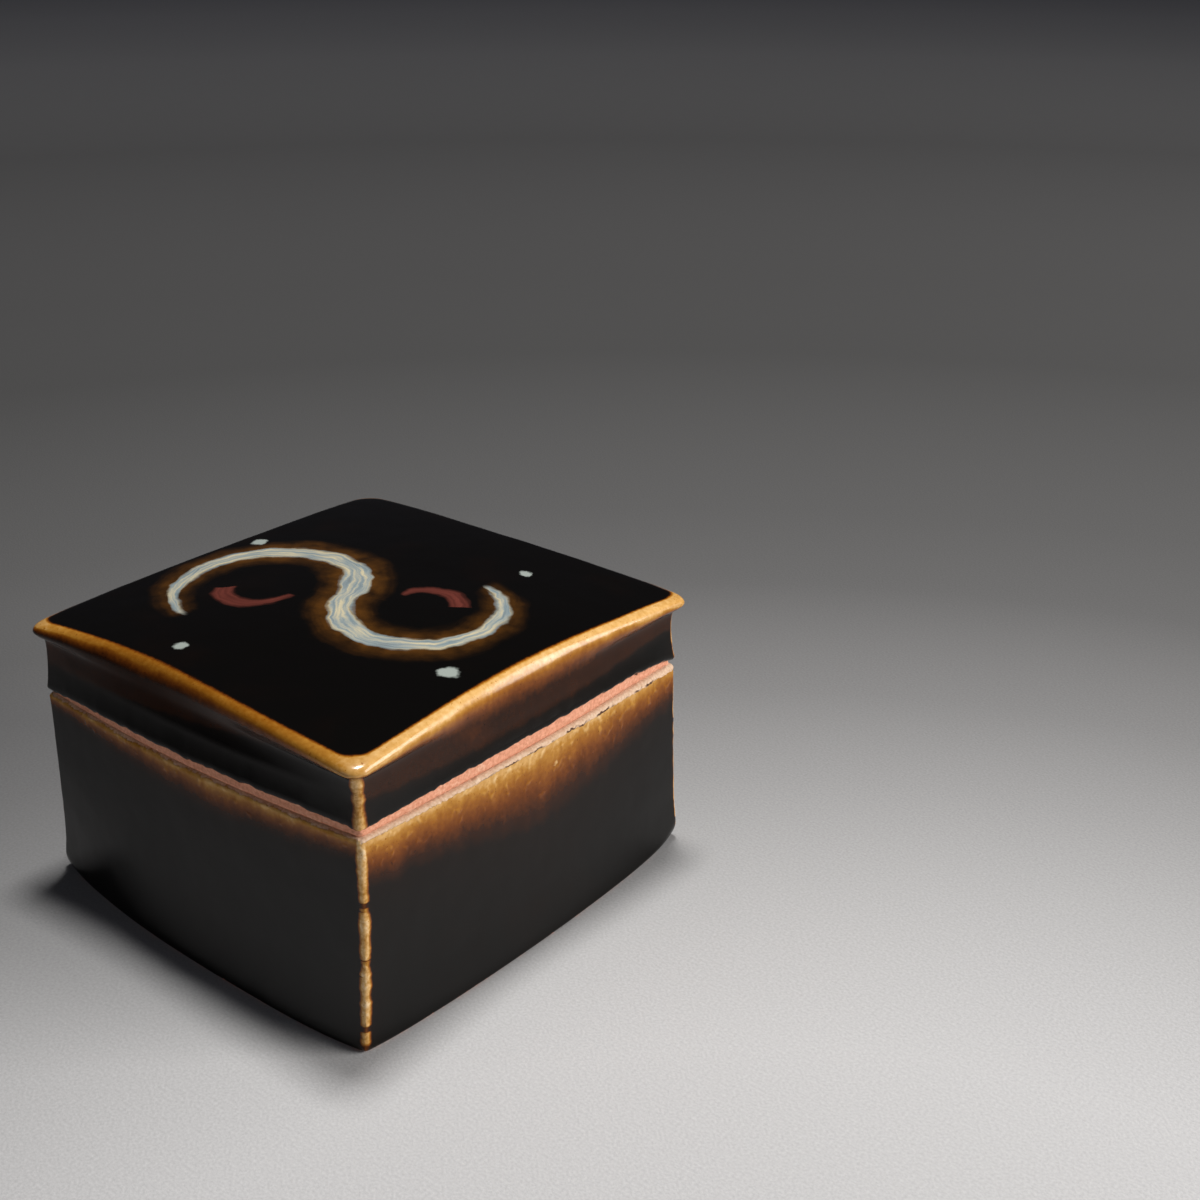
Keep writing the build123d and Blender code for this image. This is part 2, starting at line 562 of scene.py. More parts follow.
# %% Glaze and clay in one surface
# The dark and the light grains of the clay, where it is deep in colour and where it is pale
DEEP_CLAY = ((0.560, 0.215, 0.120, 1.0), (0.880, 0.440, 0.290, 1.0))
PALE_CLAY = ((0.600, 0.370, 0.230, 1.0), (0.880, 0.670, 0.500, 1.0))
CRACK = (0.085, 0.038, 0.022, 1.0)
# Ripples in the glaze: the size of their patches and their height, in millimetres
RIPPLES = ((28.0, 0.22), (12.0, 0.10), (5.0, 0.05), (1.5, 0.006))
# How deep the pits of the thin glaze are, and how far the bare clay lies below the glaze
PIT_DEPTH = 0.22
GLAZE_DEPTH = 0.22
GLAZE_IOR = 1.31
COAT_ROUGHNESS = 0.16


def clay_colour(place, pale):
    """Dry fired clay: orange, mottled and paler where the salt scum lies."""
    sand = place.grain(0.9, 3.0)
    patches = place.grain(7.0, 2.0)
    grains = 0.5 + sand * 1.8
    paleness = (pale + patches * 0.9 + sand * 0.5).step(0.25, 0.85)
    return paleness.mix(grains.mix(*DEEP_CLAY), grains.mix(*PALE_CLAY))


def stoneware(name, decorate=None):
    """Glossy iron glaze with bare clay where the measure glazed falls below nought."""
    material, start = new_material(name)
    place = start.add("ShaderNodeTexCoord", out="Object")
    thin = glaze_thinness(start, place)
    on_lid = measure(start, "on_lid")
    pits = place.grain(3.2, 1.0).step(0.05, 0.30) * thin.step(0.22, 0.45) * (1.0 - on_lid * 0.85)
    thin = thin + pits * 0.10
    glaze = start.add("ShaderNodeValToRGB", {"stops": GLAZE_STOPS}, {"Fac": thin})
    if decorate:
        glaze = decorate(start, place, glaze)
    edge = measure(start, "glazed") + place.grain(1.3, 3.0, 0.6) * 1.5 + place.grain(5.0) * 0.9
    bare = 1.0 - edge.step(-0.12, 0.12)
    along = place.axis("Y") / MM
    opened = along.step(-45.0, 45.0) * measure(start, "amber_width").step(0.8, 1.4)
    broken = place.grain(6.0, 2.0).step(-0.05, 0.10)
    crack = (edge + opened * 0.50).step(-0.30, -0.15) * opened.step(0.05, 0.25) * broken
    clay = crack.mix(clay_colour(place, measure(start, "pale_clay")), CRACK)
    colour = bare.mix(glaze, clay)
    ripple = sum(place.grain(size) * depth for size, depth in RIPPLES)
    grit = place.grain(0.45, 3.0, 0.65) * 0.16
    height = ripple + pits * PIT_DEPTH + (grit - GLAZE_DEPTH) * bare
    bump = start.add("ShaderNodeBump", None, {"Height": height, "Distance": MM, "Strength": 1.0})
    rough = 0.19 + thin * 0.05 + bare * 0.60
    shine = thin.step(0.30, 0.60) * (1.0 - bare) * (0.15 + 0.25 * on_lid)
    sockets = {"Base Color": colour, "Roughness": rough, "IOR": GLAZE_IOR, "Normal": bump}
    coat = {"Coat Weight": shine, "Coat Roughness": COAT_ROUGHNESS}
    surface(start, {**sockets, **coat})
    return material


print("ripples", len(RIPPLES))

# %% [markdown]
# ## Droplets
# A few drops of thin glaze ran down the right wall and stayed there as cream and orange spots. They could
# be little domes of their own, but they are flat, so the material just changes colour near their middles.

# %% Droplets
# Each droplet: its middle, its radius and its colour
DROPLETS = (
    ((73.2, 8.3, 56.5), 1.7, (0.660, 0.420, 0.170, 1.0)),
    ((73.2, -14.3, 38.6), 1.0, (0.420, 0.120, 0.030, 1.0)),
    ((73.2, 60.5, 54.2), 1.2, (0.520, 0.280, 0.080, 1.0)),
)


def droplets(start, place, glaze):
    """Spots of thin glaze on the body's right wall."""
    for middle, radius, colour in DROPLETS:
        away = place.distance(Vector(middle) * MM) / MM
        spot = 1.0 - (away + place.grain(1.2) * 1.2).step(radius * 0.6, radius)
        glaze = spot.mix(glaze, colour)
    return glaze


print("droplets", len(DROPLETS))

# %% [markdown]
# ## The body of the box
# The body is a floor and four bowed walls with the lower edge rolled under, most at the corners. The foot
# toes out a little and went out of square in the fire. The rim is bare and a little rounded, and a band of
# amber runs down from it. Six faces could be bevelled into a box, but the walls lean and bow by other
# amounts at each height, so the shell grows upwards from its underside in rings.

# %% Sizes of the body
# How far the foot stands out beyond the rim, how it bows, and how far each of its corners is pushed
FOOT_SPREAD = 1.5
MEAN_FOOT_BOW = 4.0
FOOT_BOW = {"right": 3.4, "back": 3.8, "left": 4.2, "front": 4.9}
FOOT_SHIFT = {(1, -1): (1.3, -4.2), (-1, -1): (-2.7, 2.1), (1, 1): (-0.5, 0.1), (-1, 1): (0.7, -0.7)}
# How far in and how far up the lower edge is rolled, along the walls and at each corner
ROLL = (1.3, 1.3)
CORNER_ROLL = {(1, -1): (2.4, 3.6), (-1, -1): (3.6, 7.0), (1, 1): (5.0, 8.0), (-1, 1): (4.0, 6.0)}
ROLL_TOP = 13.0
# How far the foot of each wall toes out below this height
TOE = 1.0
TOE_HEIGHT = 18.0
# Thickness of the walls, and the border that the box stands on round the recess underneath
WALL = 7.0
STANDING = 12.0
STANDING_EDGE = 6.0
RECESS = 1.2
FLOOR_TOP = 8.0
BODY_CORNER = 1.2
INNER_CORNER = 3.5
# How wide the amber under the rim is, how far it fades out, how thin the glaze is there, and the brown
BODY_AMBER = {"right": 2.4, "back": 2.0, "left": 0.8, "front": 0.7}
BODY_FADE = {"right": 16.5, "back": 12.0, "left": 6.0, "front": 6.8}
BODY_PEAK = 0.80
BODY_BROWN = 1.0
# How far below the seam the rim is bare, and how much wider that gets from the middle of a side to its end
RIM_BARE = {"right": 1.4, "back": 1.2, "left": 0.5, "front": 0.4}
RIM_LEAN = {"right": 0.6, "back": -0.3, "left": 0.0, "front": 0.0}
# Where along each wall the amber runs furthest down, and the share of it lost a half side away from there
AMBER_MIDDLE = {"right": 0.05, "back": 0.1, "left": 0.2, "front": 0.15}
AMBER_LOSS = 0.50
# How far the amber of each upright corner spreads beside the near one, and a distance that is clear of it
ARRIS = {(1, -1): 1.0, (-1, -1): 0.2, (1, 1): 0.5, (-1, 1): 0.4}
NO_ARRIS = 60.0
# How pale the bare clay is under the foot, inside the box, on the flange and on the rim
FOOT_PALE = 0.3
INSIDE_PALE = 0.5
FLANGE_PALE = 0.55
RIM_PALE = 1.0


def body_point(u, v, inset, z, corner, own_shape):
    """A point so far in from the walls' outer face. With no own shape, the walls bow alike, as inside."""
    middle = 1 - side_of(u, v)[1] ** 2
    flare = (1 - z / SEAM) ** (1 + own_shape * (1 + 2 * middle))
    toe = TOE * max(0.0, 1 - z / TOE_HEIGHT) ** 2 * own_shape
    half = RIM_HALF + FOOT_SPREAD * flare + toe - inset
    even_bow = MEAN_BOW + (MEAN_FOOT_BOW - MEAN_BOW) * flare

    def swell(side, along):
        own_bow = WALL_BOW[side] + (FOOT_BOW[side] - WALL_BOW[side]) * flare
        return (even_bow + (own_bow - even_bow) * own_shape) * (1 - along * along)

    x, y = plan_point(u, v, half, swell, corner)
    push = shifted(u, v, FOOT_SHIFT) * flare * own_shape
    return x + push.x, y + push.y, z


def body_measures(u, v, z, glazed, pale):
    """The measures of a point of the body. glazed(side, z) says how far inside the glaze it is."""
    side, along = side_of(u, v)
    wander = plan_noise(u, v, 4, 5.0)
    ragged = plan_noise(u, v, 12, 6.0) * 0.35 + plan_noise(u, v, 32, 7.0) * 0.35
    lean = RIM_LEAN[side] * along * z / SEAM
    less = 1 - AMBER_LOSS * min(1.0, abs(along - AMBER_MIDDLE[side]))
    return {
        "below_edge": SEAM - z,
        "amber_width": BODY_AMBER[side] * (less + 0.6 * wander),
        "amber_fade": BODY_FADE[side] * less,
        "amber_peak": BODY_PEAK,
        "brown_reach": BODY_BROWN,
        "from_arris": (1 - abs(along)) * RIM_HALF / at_corner(u, v, ARRIS),
        "glazed": glazed(side, z) - lean + ragged * z / SEAM,
        "pale_clay": pale,
    }


def body_ring(inset, z, corner, own_shape, glazed, pale):
    """A level ring of the body. Inside, where no wall has its own shape, glaze pools in the corners."""

    def place(u, v):
        spot = body_point(u, v, inset, z, corner, own_shape)
        measures = body_measures(u, v, z, glazed, pale)
        if own_shape == 0.0:
            measures["from_arris"] = NO_ARRIS
        return spot, measures

    return place


def rolled_ring(turn, rise):
    """A ring of the rolled foot: first round its quarter turn, then up the wall to where it is level."""

    def place(u, v):
        nearness = side_of(u, v)[1] ** 4
        corner_roll = at_corner(u, v, CORNER_ROLL)
        inward, upward = (towards_corner(*ends, nearness) for ends in zip(ROLL, corner_roll))
        inset = inward * (1 - sin(turn))
        z = upward * (1 - cos(turn)) + (ROLL_TOP - upward) * rise
        spot = body_point(u, v, inset, z, BODY_CORNER, 1.0)
        return spot, body_measures(u, v, z, outside, FOOT_PALE)

    return place


print("wall", WALL, "floor", FLOOR_TOP)

# %% Where the body is glazed
# How far outside the glaze bare clay counts as, and how far up the foot and down the inside it goes
BARE = -2.0
FOOT_BARE = 0.3
INSIDE_BARE = 14.0


def under(side, z):
    """Bare, as underneath and where the flange is luted on."""
    return BARE


def outside(side, z):
    """Glazed from just above the foot to the bare edge of the rim."""
    return min(SEAM - z - RIM_BARE[side], z - FOOT_BARE)


def inside(side, z):
    """Glazed below the flange."""
    return SEAM - z - INSIDE_BARE


print("inside glazed up to", round(SEAM - INSIDE_BARE, 1))

# %% Body
# Rings in order, each an inset and a height: out of the recess, up the wall, over the rim and down inside
RECESS_EDGE = ((0.5, 0.9), (0.9, 0.25), (1.4, 0.0))
STANDING_SHARES = (0.35, 0.6)
ROLL_STEPS = 10
RISES = (0.25, 0.5, 0.75, 1.0)
WALL_STEPS = 20
RIM_START = 62.6
RIM = ((0.0, 63.6), (-0.05, 64.3), (0.02, 64.7), (0.22, 65.05), (0.5, 65.35), (0.95, 65.55), (1.6, SEAM))
RIM_TOP = ((3.0, SEAM), (5.2, SEAM), (6.6, SEAM), (WALL, 65.2))
INSIDE_LEVELS = (60.0, 54.0, 51.5, 49.0, 40.0, 30.0, 20.0, 13.0)
FLOOR_CURVE = ((0.3, 11.0), (1.0, 9.4), (2.2, 8.4))
FLOOR_INSET = 4.0


def inner_ring(inset, z):
    """A ring of the glazed inside, so far in from the inner face of the walls."""
    return body_ring(WALL + inset, z, INNER_CORNER, 0.0, inside, INSIDE_PALE)


body = Shell()
recess_inset = WALL + STANDING
border = body.sheet(body_ring(recess_inset, RECESS, INNER_CORNER, 0.0, under, FOOT_PALE))
for inset, z in RECESS_EDGE:
    border = body.ring(border, body_ring(recess_inset - inset, z, INNER_CORNER, 0.0, under, FOOT_PALE))
for share in STANDING_SHARES:
    inset = recess_inset - share * (recess_inset - STANDING_EDGE)
    border = body.ring(border, body_ring(inset, 0.0, INNER_CORNER, share, under, FOOT_PALE))
for step in range(ROLL_STEPS + 1):
    border = body.ring(border, rolled_ring(step / ROLL_STEPS * pi / 2, 0.0))
for rise in RISES:
    border = body.ring(border, rolled_ring(pi / 2, rise))
for step in range(1, WALL_STEPS + 1):
    z = ROLL_TOP + (RIM_START - ROLL_TOP) * step / WALL_STEPS
    border = body.ring(border, body_ring(0.0, z, BODY_CORNER, 1.0, outside, RIM_PALE))
for inset, z in RIM:
    border = body.ring(border, body_ring(inset, z, BODY_CORNER, 1.0, outside, RIM_PALE))
for inset, z in RIM_TOP:
    border = body.ring(border, body_ring(inset, z, INNER_CORNER, 0.0, under, RIM_PALE))
for z in INSIDE_LEVELS:
    border = body.ring(border, inner_ring(0.0, z))
for inset, z in FLOOR_CURVE:
    border = body.ring(border, inner_ring(inset, z))
floor_place = inner_ring(FLOOR_INSET, FLOOR_TOP)
body.ring(border, floor_place)
body.sheet(floor_place)
glazed_body = body.finish("glazed_body", stoneware("iron_glazed_body", droplets))
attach(glazed_body, "box")
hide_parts("floor_slab", *(f"{side}_wall_slab" for side in WALL_BOW))

# %% [markdown]
# ## The locating flange
# Inside the rim stands a low ring of bare clay that keeps the lid from sliding off. The four strips were
# luted in one after another. The ring follows the inner plan of the walls, so it grows from the same grid:
# the border is drawn round the strip's profile and closed on itself, and the grid it started from goes.

# %% Flange
FLANGE_FOOT = 53.6
FLANGE_TOP = 71.6
FLANGE = 4.0
FLANGE_LEAN = 1.0
OUTER_LEAN = WALL + FLANGE_LEAN
INNER_FACE = WALL + FLANGE
# Insets and heights round the strip: up its outer face, over its top, and down its inner face to its foot
FLANGE_PROFILE = (
    (WALL, 60.0), (WALL, SEAM), (WALL + 0.5, 68.4), (OUTER_LEAN - 0.1, 70.4), (OUTER_LEAN + 0.25, 71.1),
    (OUTER_LEAN + 0.8, 71.5), (OUTER_LEAN + 1.5, FLANGE_TOP), (INNER_FACE - 0.9, 71.5),
    (INNER_FACE - 0.3, 71.1), (INNER_FACE, 70.3), (INNER_FACE, 66.0), (INNER_FACE, 60.0),
    (INNER_FACE, 54.6), (INNER_FACE - 0.6, FLANGE_FOOT), (WALL, FLANGE_FOOT),
)


def flange_ring(inset, z):
    """A ring of the bare flange."""
    return body_ring(inset, z, INNER_CORNER, 0.0, under, FLANGE_PALE)


flange = Shell()
border = flange.sheet(flange_ring(WALL, FLANGE_FOOT))
first_sheet = list(flange.bm.faces)
for inset, z in FLANGE_PROFILE:
    border = flange.ring(border, flange_ring(inset, z))
bmesh.ops.delete(flange.bm, geom=first_sheet, context="FACES")
locating_flange = flange.finish("locating_flange", stoneware("bare_stoneware"))
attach(locating_flange, "box")
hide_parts(*(f"{side}_flange_strip" for side in WALL_BOW))

# %% [markdown]
# ## Brushwork on the lid
# Before the firing a loaded brush left two joined scrolls on the lid, in a pale slip that turned blue where
# it lay thick, with two iron-red commas and a few dabs. The marks are flat and melt into the glaze at their
# edges. They could be cut as shapes and laid on, but a stroke along an arc is a short sum: the distance
# from the arc, less the width of the brush there.

# %% Brushwork
# How far the whole design is turned, and how many of its units go to a millimetre
BRUSH_TURN = 0.35
BRUSH_SCALE = 0.80
# Each stroke: middle of the arc, its radius, the turn where it starts, its sweep, and the brush's width
SCROLLS = (((-23.0, 0.0), 23.0, 0.0, 4.3, 7.0), ((20.0, 0.0), 20.0, pi, 4.3, 6.4))
COMMAS = (((-23.0, -1.0), 10.0, 3.4, 2.6, 5.0), ((20.0, 2.0), 8.5, 0.2, 2.6, 4.6))
# Each dab: its middle and its radius
DABS = (((-40.0, 28.0), 2.6), ((40.0, -28.0), 2.8), ((36.0, 30.0), 2.0), ((-26.0, -36.0), 2.2))
# Colours of the slip, from thick to thin, of the iron red, the dabs, and the brown that bleeds round them
SLIP = ((0.300, 0.400, 0.440, 1.0), (0.560, 0.500, 0.340, 1.0))
IRON_RED = ((0.060, 0.014, 0.010, 1.0), (0.170, 0.042, 0.030, 1.0))
DAB_SLIP = (0.380, 0.430, 0.400, 1.0)
BLED_BROWN = (0.110, 0.042, 0.006, 1.0)


def brush(start, flat, stroke, spread, bleed):
    """How much of one stroke lies at a point of the lid, and the streaks that its hairs left along it."""
    middle, radius, first, sweep, width = stroke
    arm = flat.add("ShaderNodeVectorMath", {"operation": "SUBTRACT"}, {0: flat, 1: (*middle, 0.0)})
    x = arm.axis("X")
    y = arm.axis("Y")
    turn = x.math("FLOORED_MODULO", x.math("ARCTAN2", y, x) - first, 2 * pi)
    along = turn / sweep
    across = arm.add("ShaderNodeVectorMath", {"operation": "LENGTH"}, {0: arm}, "Value") - radius
    hairs = start.add("ShaderNodeCombineXYZ", None, {0: turn * radius * 0.08, 1: across * 0.9, 2: radius})
    streaks = start.add("ShaderNodeTexNoise", None, {"Vector": hairs, "Scale": 1.0, "Detail": 3.0}) - 0.5
    swell = (1.0 - along * along).most(0.0).power(0.6)
    half = swell * (width * spread / 2)
    reach = across.absolute() + streaks * 2.2
    mark = (1.0 - reach.step(half - bleed, half + bleed)) * (1.0 - along.step(0.96, 1.0))
    return mark, streaks


def brushwork(start, place, glaze):
    """Pale scrolls, red commas and dabs over the black of the lid's top."""
    scale = BRUSH_SCALE / MM
    mapping = {"Vector": place, "Rotation": (0.0, 0.0, -BRUSH_TURN), "Scale": (scale, scale, 0.0)}
    mapped = start.add("ShaderNodeMapping", None, mapping)
    shake = start.add("ShaderNodeTexNoise", None, {"Vector": mapped, "Scale": 0.11, "Detail": 3.0}, "Color")
    warp = {0: shake, 1: (5.0, 5.0, 0.0), 2: mapped}
    flat = start.add("ShaderNodeVectorMath", {"operation": "MULTIPLY_ADD"}, warp)
    topside = measure(start, "below_edge").step(-3.0, -6.0)
    halo = 0.0 * topside
    for stroke in SCROLLS:
        halo = halo.most(brush(start, flat, stroke, 2.1, 3.6)[0])
    glaze = (halo * topside * (0.55 + place.grain(6.0, 3.0) * 1.5)).mix(glaze, BLED_BROWN)
    for stroke in COMMAS:
        mark, streaks = brush(start, flat, stroke, 1.0, 0.9)
        red = (0.5 + streaks * 1.6).mix(*IRON_RED)
        glaze = (mark * topside * 0.9).mix(glaze, red)
    for stroke in SCROLLS:
        mark, streaks = brush(start, flat, stroke, 1.0, 0.7)
        pale = (0.5 + streaks * 1.8).step(0.25, 0.80).mix(*SLIP)
        glaze = (mark * topside * (0.80 + streaks * 1.3)).mix(glaze, pale)
    for middle, radius in DABS:
        away = flat.distance((*middle, 0.0))
        dab = 1.0 - (away + place.grain(2.0) * 1.5).step(radius * 0.6, radius)
        glaze = (dab * topside * 0.85).mix(glaze, DAB_SLIP)
    return glaze


print("strokes", len(SCROLLS) + len(COMMAS), "dabs", len(DABS))

# %% [markdown]
# ## The lid
# The lid is a domed slab laid over four low walls. Its edge is a thick roll at the corners and is drawn in
# between them, so that the same edge turns from a lip into a slope. Below the neck the walls flare like a
# skirt, roll in and stop at a ragged glaze line over a band of bare clay. Stations give the profile at the
# middle of a side and at a corner, and a smooth line runs through them.

# %% Stations of the lid
# The dome's height and radius, the thickness of the slab, and how far the neck is above the seam
DOME_TOP = 95.0
DOME_RADIUS = 951.0
LID_TOP = 8.0
NECK_UP = 12.5
# Each station: how far out and how high it is at the middle of a side, and at a corner, then the corner's
# radius and how far it follows the drawn-in edge. Out is measured from the rim's corner, and the height
# is a share of the way from the neck to the brow.
BROW = (-5.4, 1.0, -2.4, 1.0, 6.4, 1.0)
CREST = (-3.5, 0.98, 0.2, 0.963, 6.4, 1.0)
SHOULDER = (-1.8, 0.89, 2.3, 0.880, 6.0, 0.95)
LIP = (-0.3, 0.70, 3.0, 0.750, 5.4, 0.80)
LOWER_LIP = (0.3, 0.53, 1.8, 0.630, 4.4, 0.60)
UNDER_LIP = (0.8, 0.34, -0.1, 0.490, 2.8, 0.35)
NECK = (1.9, 0.0, -0.5, 0.0, 1.8, 0.0)
STATIONS = (BROW, CREST, SHOULDER, LIP, LOWER_LIP, UNDER_LIP, NECK)
# How far out the walls are at their widest, at the middle of a side and at a corner, and its radius
BELLY = (3.6, 0.3)
BELLY_CORNER = 1.4
# Where along each side the edge is drawn in deepest, over what width, and how deep beside the deepest
DRAWN_IN = {
    "right": (-0.08, 0.58, 1.0),
    "back": (-0.05, 0.55, 0.6),
    "left": (0.10, 0.55, 0.6),
    "front": (-0.30, 0.60, 1.0),
}
# Where the count down from the edge starts at the brow, and how far over it the black of the top runs,
# along each side and at each corner
TOP_EDGE = -2.3
BLACK_OVER = {"right": 0.0, "back": 3.0, "left": 3.0, "front": 0.0}
BLACK_CORNER = {(1, -1): -0.6, (-1, -1): 1.4, (1, 1): 1.6, (-1, 1): 3.0}
# How the corners of the lid are pushed: all of it above the seam, and only its drawn-in edge
LID_LEAN = {(1, -1): (0.3, -0.2)}
LID_SHIFT = {(1, -1): (0.5, -1.1), (-1, -1): (0.9, 0.2), (1, 1): (0.6, 0.4)}
# How wide the amber of the edge is, how far it fades out and how thin the glaze is there, along the
# sides and at the corners
LID_AMBER = 2.0
LIP_AMBER = {(1, -1): 7.5, (-1, -1): 4.0, (1, 1): 6.5, (-1, 1): 4.0}
LID_FADE = {"right": 7.4, "back": 6.0, "left": 4.4, "front": 4.8}
LIP_FADE = 1.4
LID_PEAK = {"right": 0.83, "back": 0.75, "left": 0.60, "front": 0.58}
LIP_PEAK = 0.78
# How far down the brown under the amber runs, and how much of that it gains towards one end of the side
LID_BROWN = {"right": (19.5, -0.08), "back": (16.0, 0.0), "left": (10.0, 0.0), "front": (14.0, -0.45)}
# How far a step from an upright corner counts on the lid, where its amber is wider than on the body
LID_ARRIS = 0.75
# The band of bare clay over the seam: what a side's middle adds to its ends, its width at the corners,
# how much it gains along a side, and the waves of its ragged upper line
CLAY_BAND = {"right": 2.6, "back": 2.2, "left": 1.8, "front": 1.6}
CLAY_CORNER = {(1, -1): 2.6, (-1, -1): 1.0, (1, 1): 1.4, (-1, 1): 1.2}
CLAY_LEAN = {"right": 0.5, "back": 0.0, "left": 0.2, "front": 0.0}
CLAY_WAVES = ((7, 0.4), (18, 0.5), (40, 0.4))
LEAST_CLAY = 0.4
LID_PALE = 0.25
# How far the lower edge is tucked in, how high its roll is, and how much further in the clay under it lies
TUCK = {"right": 1.7, "back": 1.4, "left": 1.1, "front": 1.1}
CORNER_TUCK = 1.2
EDGE_ROLL = 1.3
CLAY_STEP = 0.25
# How far inside the glaze the lid is: well inside, at its ragged line, just under that, and how much is
# lost from there to the seam. Then a measure that is well below the amber of the edge.
GLAZED = 20.0
AT_LINE = 0.1
UNDER_LINE = -0.3
CLAY_LOSS = 3.0
FAR_BELOW = 60.0


def drawn_in(side, along):
    """How far the edge is drawn in between its corners, as a share of the deepest place."""
    centre, width, depth = DRAWN_IN[side]

    def bell(place):
        return exp(-(((place - centre) / width) ** 2))

    return depth * (bell(along) - bell(-1) * (1 - along) / 2 - bell(1) * (1 + along) / 2)


def lid_swell(middle, corner, drawn):
    """How the sides of a ring stand out, bowed like the walls or drawn in like the edge."""

    def swell(side, along):
        own = (WALL_BOW[side] - MEAN_BOW) * (1 - drawn)
        bowed = 1 - along * along
        return (middle - corner + own) * (bowed + (drawn_in(side, along) - bowed) * drawn)

    return swell


def lid_point(u, v, middle, corner, radius, drawn, lean):
    """Where a point of a lid ring falls in the plan."""
    x, y = plan_point(u, v, RIM_HALF + corner, lid_swell(middle, corner, drawn), radius)
    push = shifted(u, v, LID_SHIFT) * drawn + shifted(u, v, LID_LEAN) * lean
    return x + push.x, y + push.y


def dome(x, y, drop):
    """The height of the domed top, or of its underside a slab's thickness lower."""
    return DOME_TOP - drop - (x * x + y * y) / (2 * (DOME_RADIUS - drop))


def brow_point(u, v):
    """A point of the domed top, out to the brow."""
    middle, _, corner, _, radius, drawn = BROW
    x, y = lid_point(u, v, middle, corner, radius, drawn, 1.0)
    return x, y, dome(x, y, 0.0)


def glaze_line(u, v):
    """How far above the seam the lid's glaze stops."""
    side, along = side_of(u, v)
    swell = (1 - along**4) * (1 + CLAY_LEAN[side] * along)
    ends = side_ends(u, v, CLAY_CORNER)
    ragged = sum(plan_noise(u, v, waves, waves) * size for waves, size in CLAY_WAVES)
    return max(LEAST_CLAY, ends + CLAY_BAND[side] * swell + ragged)


def lid_measures(u, v, glazed, arris_shift):
    """The measures of a point of the lid that is so far inside the glaze."""
    side, along = side_of(u, v)
    wander = plan_noise(u, v, 5, 9.0)
    brown, lean = LID_BROWN[side]
    return {
        "amber_width": towards_corner(LID_AMBER, at_corner(u, v, LIP_AMBER), along) * (1 + 0.25 * wander),
        "amber_fade": towards_corner(LID_FADE[side], LIP_FADE, along),
        "amber_peak": towards_corner(LID_PEAK[side], LIP_PEAK, along * along),
        "brown_reach": brown * (1 + lean * along),
        "from_arris": (1 - abs(along)) * LID_ARRIS * RIM_HALF / at_corner(u, v, ARRIS) + arris_shift,
        "glazed": glazed,
        "pale_clay": LID_PALE,
        "on_lid": 1.0,
    }


print("lid stations", len(STATIONS))


# %% Rings of the lid
def lid_top(u, v):
    """A point of the domed top, with its measures."""
    measures = lid_measures(u, v, GLAZED, NO_ARRIS)
    side, along = side_of(u, v)
    black = towards_corner(BLACK_OVER[side], at_corner(u, v, BLACK_CORNER), along**8)
    measures["below_edge"] = TOP_EDGE - black - (1 - max(abs(u), abs(v))) * RIM_HALF
    return brow_point(u, v), measures


def lid_eave(station, arris_shift):
    """A ring of the lid's edge, from the brow to the neck."""
    middle, middle_height, corner, corner_height, radius, drawn = station

    def place(u, v):
        x, y = lid_point(u, v, middle, corner, radius, drawn, 1.0)
        share = towards_corner(middle_height, corner_height, side_of(u, v)[1])
        neck = SEAM + NECK_UP
        spot = (x, y, neck + (brow_point(u, v)[2] - neck) * share)
        return spot, lid_measures(u, v, GLAZED, arris_shift)

    return place


def lid_skirt(share, flare, turn):
    """A ring of the lid's wall: down from the neck to the belly, then round the roll to the glaze line."""
    middle = NECK[0] + (BELLY[0] - NECK[0]) * flare
    corner = NECK[2] + (BELLY[1] - NECK[2]) * flare
    radius = NECK[4] + (BELLY_CORNER - NECK[4]) * flare

    def place(u, v):
        side, along = side_of(u, v)
        tuck = towards_corner(TUCK[side], CORNER_TUCK, along) * (1 - cos(turn))
        line = glaze_line(u, v)
        belly_up = line + EDGE_ROLL
        up = NECK_UP + (belly_up - NECK_UP) * share - EDGE_ROLL * sin(turn)
        x, y = lid_point(u, v, middle - tuck, corner - tuck, radius, 0.0, 1.0 - share)
        return (x, y, SEAM + up), lid_measures(u, v, up - line + AT_LINE, 0.0)

    return place


def lid_clay(share):
    """A ring of the bare clay band, down from the glaze line to the seam."""

    def place(u, v):
        side, along = side_of(u, v)
        tuck = towards_corner(TUCK[side], CORNER_TUCK, along) + CLAY_STEP
        up = glaze_line(u, v) * (1 - share)
        x, y = lid_point(u, v, BELLY[0] - tuck, BELLY[1] - tuck, BELLY_CORNER, 0.0, 0.0)
        return (x, y, SEAM + up), lid_measures(u, v, UNDER_LINE - share * CLAY_LOSS, 0.0)

    return place


def hollow_measures(u, v, glazed):
    """The measures of a point inside the lid, where the glaze meets no edge."""
    return {**lid_measures(u, v, glazed, NO_ARRIS), "below_edge": FAR_BELOW}


def lid_inside(middle, middle_up, corner, corner_up, radius, glazed):
    """A ring inside the lid, or under its lower edge."""

    def place(u, v):
        x, y = plan_point(u, v, RIM_HALF + corner, even_swell(middle - corner), radius)
        up = towards_corner(middle_up, corner_up, side_of(u, v)[1])
        return (x, y, SEAM + up), hollow_measures(u, v, glazed)

    return place


# Half the width of the ceiling inside the lid at its corners, and their radius
CEILING_HALF = 61.4
CEILING_CORNER = 4.2


def lid_ceiling(u, v):
    """A point of the underside of the domed slab."""
    x, y = plan_point(u, v, CEILING_HALF, even_swell(MEAN_BOW), CEILING_CORNER)
    return (x, y, dome(x, y, LID_TOP)), hollow_measures(u, v, GLAZED)


print("lid rings from", SEAM, "to", DOME_TOP)

# %% Lid
EAVE_STEPS = 4
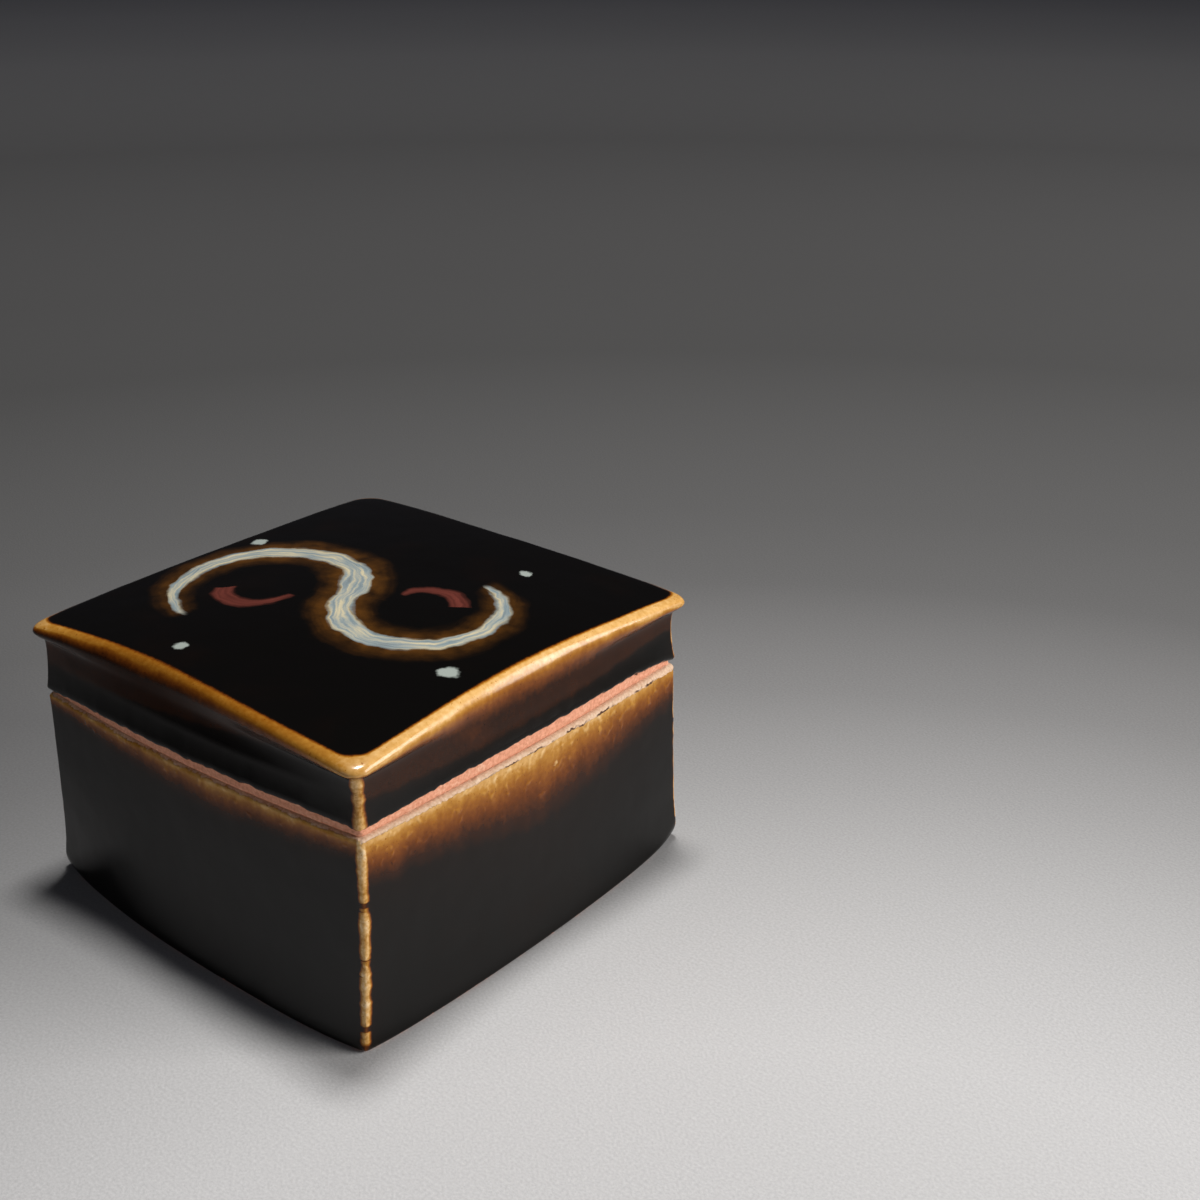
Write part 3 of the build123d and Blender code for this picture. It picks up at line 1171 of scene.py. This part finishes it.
# The amber of the upright corners starts at this ring, and is lost this fast in the rings above it
ARRIS_START = 16.0
ARRIS_LOSS = 3.0
SKIRT_STEPS = 7
SKIRT_CURVE = 1.5
ROLL_TURNS = 7
CLAY_SHARES = (0.1, 0.4, 0.65, 0.85)
# Rings under the lower edge and up inside: how far out and how far above the seam each is at the
# middle of a side and at a corner, then the corner's radius and how far inside the glaze it is
INSIDE_RINGS = (
    (0.4, 0.0, -2.4, 0.0, 1.4, -1.0), (-1.5, 0.0, -4.4, 0.0, 2.4, -1.0),
    (-2.8, 0.0, -5.8, 0.0, 3.5, -1.0), (-3.2, 0.4, -6.2, 0.4, 3.5, -1.0),
    (-3.2, 6.0, -6.2, 6.0, 3.5, -1.0), (-3.2, 8.6, -6.2, 8.6, 3.5, -0.6),
    (-3.2, 9.6, -6.2, 9.6, 3.5, 0.6), (-3.2, 13.0, -6.2, 12.5, 3.5, 5.0),
    (-3.2, 16.5, -6.2, 14.8, 3.5, 9.0), (-3.5, 18.2, -6.5, 16.4, 3.5, 9.0),
    (-4.3, 18.95, -7.3, 17.1, 3.8, 9.0),
)

lid = Shell()
border = lid.sheet(lid_top)
eave = list(through(STATIONS, EAVE_STEPS))
for index, station in enumerate(eave[1:]):
    border = lid.ring(border, lid_eave(station, max(0.0, ARRIS_START - index) * ARRIS_LOSS))
for step in range(1, SKIRT_STEPS + 1):
    share = step / SKIRT_STEPS
    border = lid.ring(border, lid_skirt(share, share**SKIRT_CURVE, 0.0))
for step in range(1, ROLL_TURNS + 1):
    border = lid.ring(border, lid_skirt(1.0, 1.0, step / ROLL_TURNS * pi / 2))
for share in CLAY_SHARES:
    border = lid.ring(border, lid_clay(share))
for ring in INSIDE_RINGS:
    border = lid.ring(border, lid_inside(*ring))
lid.ring(border, lid_ceiling)
lid.sheet(lid_ceiling)
glazed_lid = lid.finish("glazed_lid", stoneware("iron_glazed_lid", brushwork))
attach(glazed_lid, "lid")
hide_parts("lid_top_slab", *(f"lid_{side}_wall_strip" for side in WALL_BOW))
